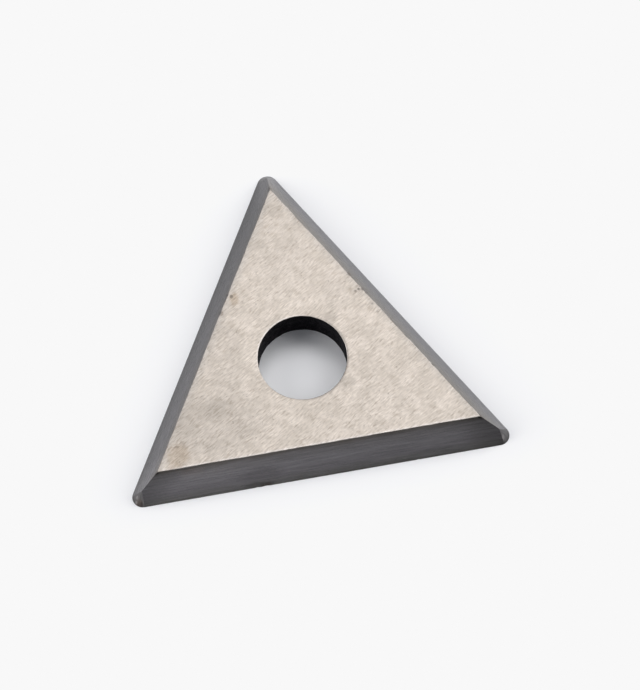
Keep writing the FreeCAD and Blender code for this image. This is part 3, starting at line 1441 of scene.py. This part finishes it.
    def finishes(self) -> dict[Zone, Finish]:
        """Return the finish of each zone."""
        form = self.form
        return {
            Zone.SEAT: GroundFace(
                "ground_seat", form, inradius=form.seat_inradius, spots=SEAT_SPOTS
            ),
            Zone.BED: GroundFace("ground_bed", form, inradius=form.inradius),
            Zone.FRONT_FLANK: GroundFlank(
                "ground_front_flank",
                form,
                side=Side.FRONT,
                marks=(0.32, 5.5),
                bands=FRONT_BANDS,
                fall=(1.17, 0.86),
                streaks=(0.84, 1.16),
                scratches=(0.90, 1.10),
                gleam=0.66,
                gleam_reach=(0.10, 3.2),
                spots=FRONT_SPOTS,
            ),
            Zone.RIGHT_FLANK: GroundFlank(
                "ground_right_flank",
                form,
                side=Side.RIGHT,
                bands=RIGHT_BANDS,
                fall=(1.12, 1.26),
                gleam=1.08,
                spots=RIGHT_SPOTS,
            ),
            Zone.LEFT_FLANK: GroundFlank(
                "ground_left_flank",
                form,
                side=Side.LEFT,
                bands=LEFT_BANDS,
                fall=(0.61, 1.13),
                gleam=1.43,
                gleam_reach=(0.10, 2.8),
            ),
            Zone.NOSE: GroundNose("ground_nose", form),
            Zone.BORE: SinteredBore("sintered_bore", form),
            Zone.EDGE: EdgeBreak("edge_break", form),
        }


@dataclass(frozen=True)
class SoftLight:
    """A large soft light that is far away.

    Attributes:
        name: Its name.
        compass: Direction that it stands in, in degrees from +X towards +Y.
        elevation: Its height over the floor, in degrees.
        spread: Angle that it fills, in degrees.
        energy: Its strength, in watts to the square metre.
        card: Whether it is only a card that shines in the metal, and lights nothing matt.
    """

    name: str
    compass: float
    elevation: float
    spread: float
    energy: float
    card: bool = False

    def build(self) -> None:
        """Make the light, turned towards the middle of the floor."""
        lamp = bpy.data.lights.new(self.name, "SUN")
        lamp.energy = self.energy
        lamp.angle = math.radians(self.spread)
        light = into_scene(self.name, lamp)
        light.location = direction(self.compass, self.elevation)
        light.rotation_euler = light.location.to_track_quat("Z", "Y").to_euler()
        light.visible_diffuse = not self.card


@dataclass(frozen=True)
class StudioCamera:
    """The camera, which looks down on the blade from a little in front.

    Attributes:
        azimuth: Turn about the upright, in degrees. 0 looks along +Y.
        elevation: Height over the floor, in degrees.
        roll: Turn about the line of sight, in degrees.
        distance: Distance from the blade, in metres.
        aside: How far the camera is moved to its right, in metres.
        above: How far the camera is moved up its picture, in metres.
        focal_pixels: Focal length in pixels of the picture.
        sensor: Width of the sensor, in millimetres.
        clip: Nearest and furthest distance that it shows, in metres.
    """

    azimuth: float = -8.3788
    elevation: float = 68.05
    roll: float = -1.9951
    distance: float = 0.2376947
    aside: float = 0.0011206
    above: float = 0.0017015
    focal_pixels: float = 3603.9
    sensor: float = 36.0
    clip: Pair = (0.01, 20.0)

    def build(self) -> None:
        """Make the camera and let the scene use it."""
        data = bpy.data.cameras.new("studio_camera")
        data.sensor_width = self.sensor
        data.lens = self.focal_pixels / max(IMAGE_WIDTH, IMAGE_HEIGHT) * self.sensor
        data.clip_start, data.clip_end = self.clip
        roll = math.radians(self.roll)
        back = direction(self.azimuth - 90.0, self.elevation)
        level = direction(self.azimuth)
        upright = back.cross(level)
        right = level * math.cos(roll) + upright * math.sin(roll)
        top = upright * math.cos(roll) - level * math.sin(roll)
        place = back * self.distance + right * self.aside + top * self.above
        axes = Matrix((right, top, back)).transposed()
        camera = into_scene("studio_camera", data)
        camera.matrix_world = Matrix.Translation(place) @ axes.to_4x4()
        bpy.context.scene.camera = camera


@dataclass(frozen=True)
class Studio:
    """Plain pale floor, soft light and the camera.

    Attributes:
        floor_size: Half the width of the floor, in metres.
        floor_colour: Colour of the floor.
        ambient: Strength of the light from all round.
        ambient_colour: Its colour, a little cooler than the lights.
        backdrop: Brightness of what is seen past the floor.
        white: Brightness from which everything is shown alike.
        paper: How bright that is shown.
        shoulder: Brightness and how bright it is shown, where the two begin to part.
        lights: The lights.
        camera: The camera.
    """

    floor_size: float = 3.0
    floor_colour: Colour = (0.856, 0.857, 0.868)
    ambient: float = 0.26
    ambient_colour: Colour = (0.96, 0.98, 1.05)
    backdrop: float = 1.1
    white: float = 1.3
    paper: float = 0.9387
    shoulder: tuple[Pair, ...] = ((0.84, 0.84), (0.93, 0.905), (1.0, 0.9387))
    lights: tuple[SoftLight, ...] = (
        SoftLight("back_softbox", 79.0, 60.0, 24.0, 0.83),
        SoftLight("right_softbox", 18.0, 39.0, 50.0, 2.05),
        SoftLight("left_softbox", 167.0, 31.0, 44.0, 1.82),
        SoftLight("front_left_card", 225.0, 42.0, 44.0, 0.42, card=True),
        SoftLight("front_right_card", 315.0, 42.0, 44.0, 0.42, card=True),
    )
    camera: StudioCamera = StudioCamera()

    def build(self) -> None:
        """Set the studio up."""
        self.lay_floor()
        self.light_world()
        for light in self.lights:
            light.build()
        self.camera.build()
        self.expose()

    def expose(self) -> None:
        """Show brightness as it is up to the floor's, which is just overexposed."""
        view = bpy.context.scene.view_settings
        view.view_transform = "Standard"
        view.use_curve_mapping = True
        tone = view.curve_mapping
        tone.extend = "HORIZONTAL"
        tone.white_level = (self.white,) * 3
        # The first three curves are for red, green and blue, and the last is for all of them.
        curve = tone.curves[3]
        for brightness, shown in self.shoulder:
            curve.points.new(brightness / self.white, shown)
        curve.points[-1].location = (1.0, self.paper)
        for point in curve.points:
            point.handle_type = "VECTOR"
        tone.update()

    def lay_floor(self) -> None:
        """Lay the floor just under the blade."""
        mesh = bmesh.new()
        bmesh.ops.create_grid(mesh, x_segments=1, y_segments=1, size=self.floor_size)
        data = bpy.data.meshes.new("studio_floor")
        mesh.to_mesh(data)
        mesh.free()
        material = bpy.data.materials.new("matt_floor")
        material.use_nodes = True
        shader = material.node_tree.nodes["Principled BSDF"]
        matt = {"Base Color": self.floor_colour, "Roughness": 1.0, "Specular IOR Level": 0.0}
        NodeBench(material.node_tree).feed(shader, matt)
        data.materials.append(material)
        into_scene("studio_floor", data)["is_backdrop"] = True

    def light_world(self) -> None:
        """Light the scene faintly from all round, and show a pale backdrop behind it."""
        world = bpy.data.worlds.new("studio_world")
        world.use_nodes = True
        world.node_tree.nodes.clear()
        bench = NodeBench(world.node_tree)
        fed = {0: bench.add("ShaderNodeLightPath").outputs["Is Camera Ray"]}
        shown = (self.ambient_colour, self.ambient), (WHITE, self.backdrop)
        for number, (colour, strength) in enumerate(shown, start=1):
            light = bench.add("ShaderNodeBackground", {"Color": colour, "Strength": strength})
            fed[number] = light.outputs["Background"]
        mix = bench.add("ShaderNodeMixShader", fed)
        bench.add("ShaderNodeOutputWorld", {"Surface": mix.outputs["Shader"]})
        bpy.context.scene.world = world


def plain_box() -> list[list[float]]:
    """Return the whole object's box as plain lists of numbers."""
    bpy.context.view_layer.update()
    return [[float(number) for number in corner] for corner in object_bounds()]


def main() -> None:
    """Build the blade and the studio."""
    logging.basicConfig(level=logging.INFO, format="%(name)s: %(message)s")
    packed_box = plain_box()
    form = BladeForm.from_frame()
    LOG.info("nose radius %.3f mm, seat inradius %.3f mm", form.nose_radius, form.seat_inradius)
    blade = ScraperBlade(form).build()
    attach(blade, BODY)
    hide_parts(NODE)
    LOG.info("%s: %d faces", blade.name, len(blade.data.polygons))
    Studio().build()
    {"packed": packed_box, "visual": plain_box()}


if __name__ == "__main__":
    main()
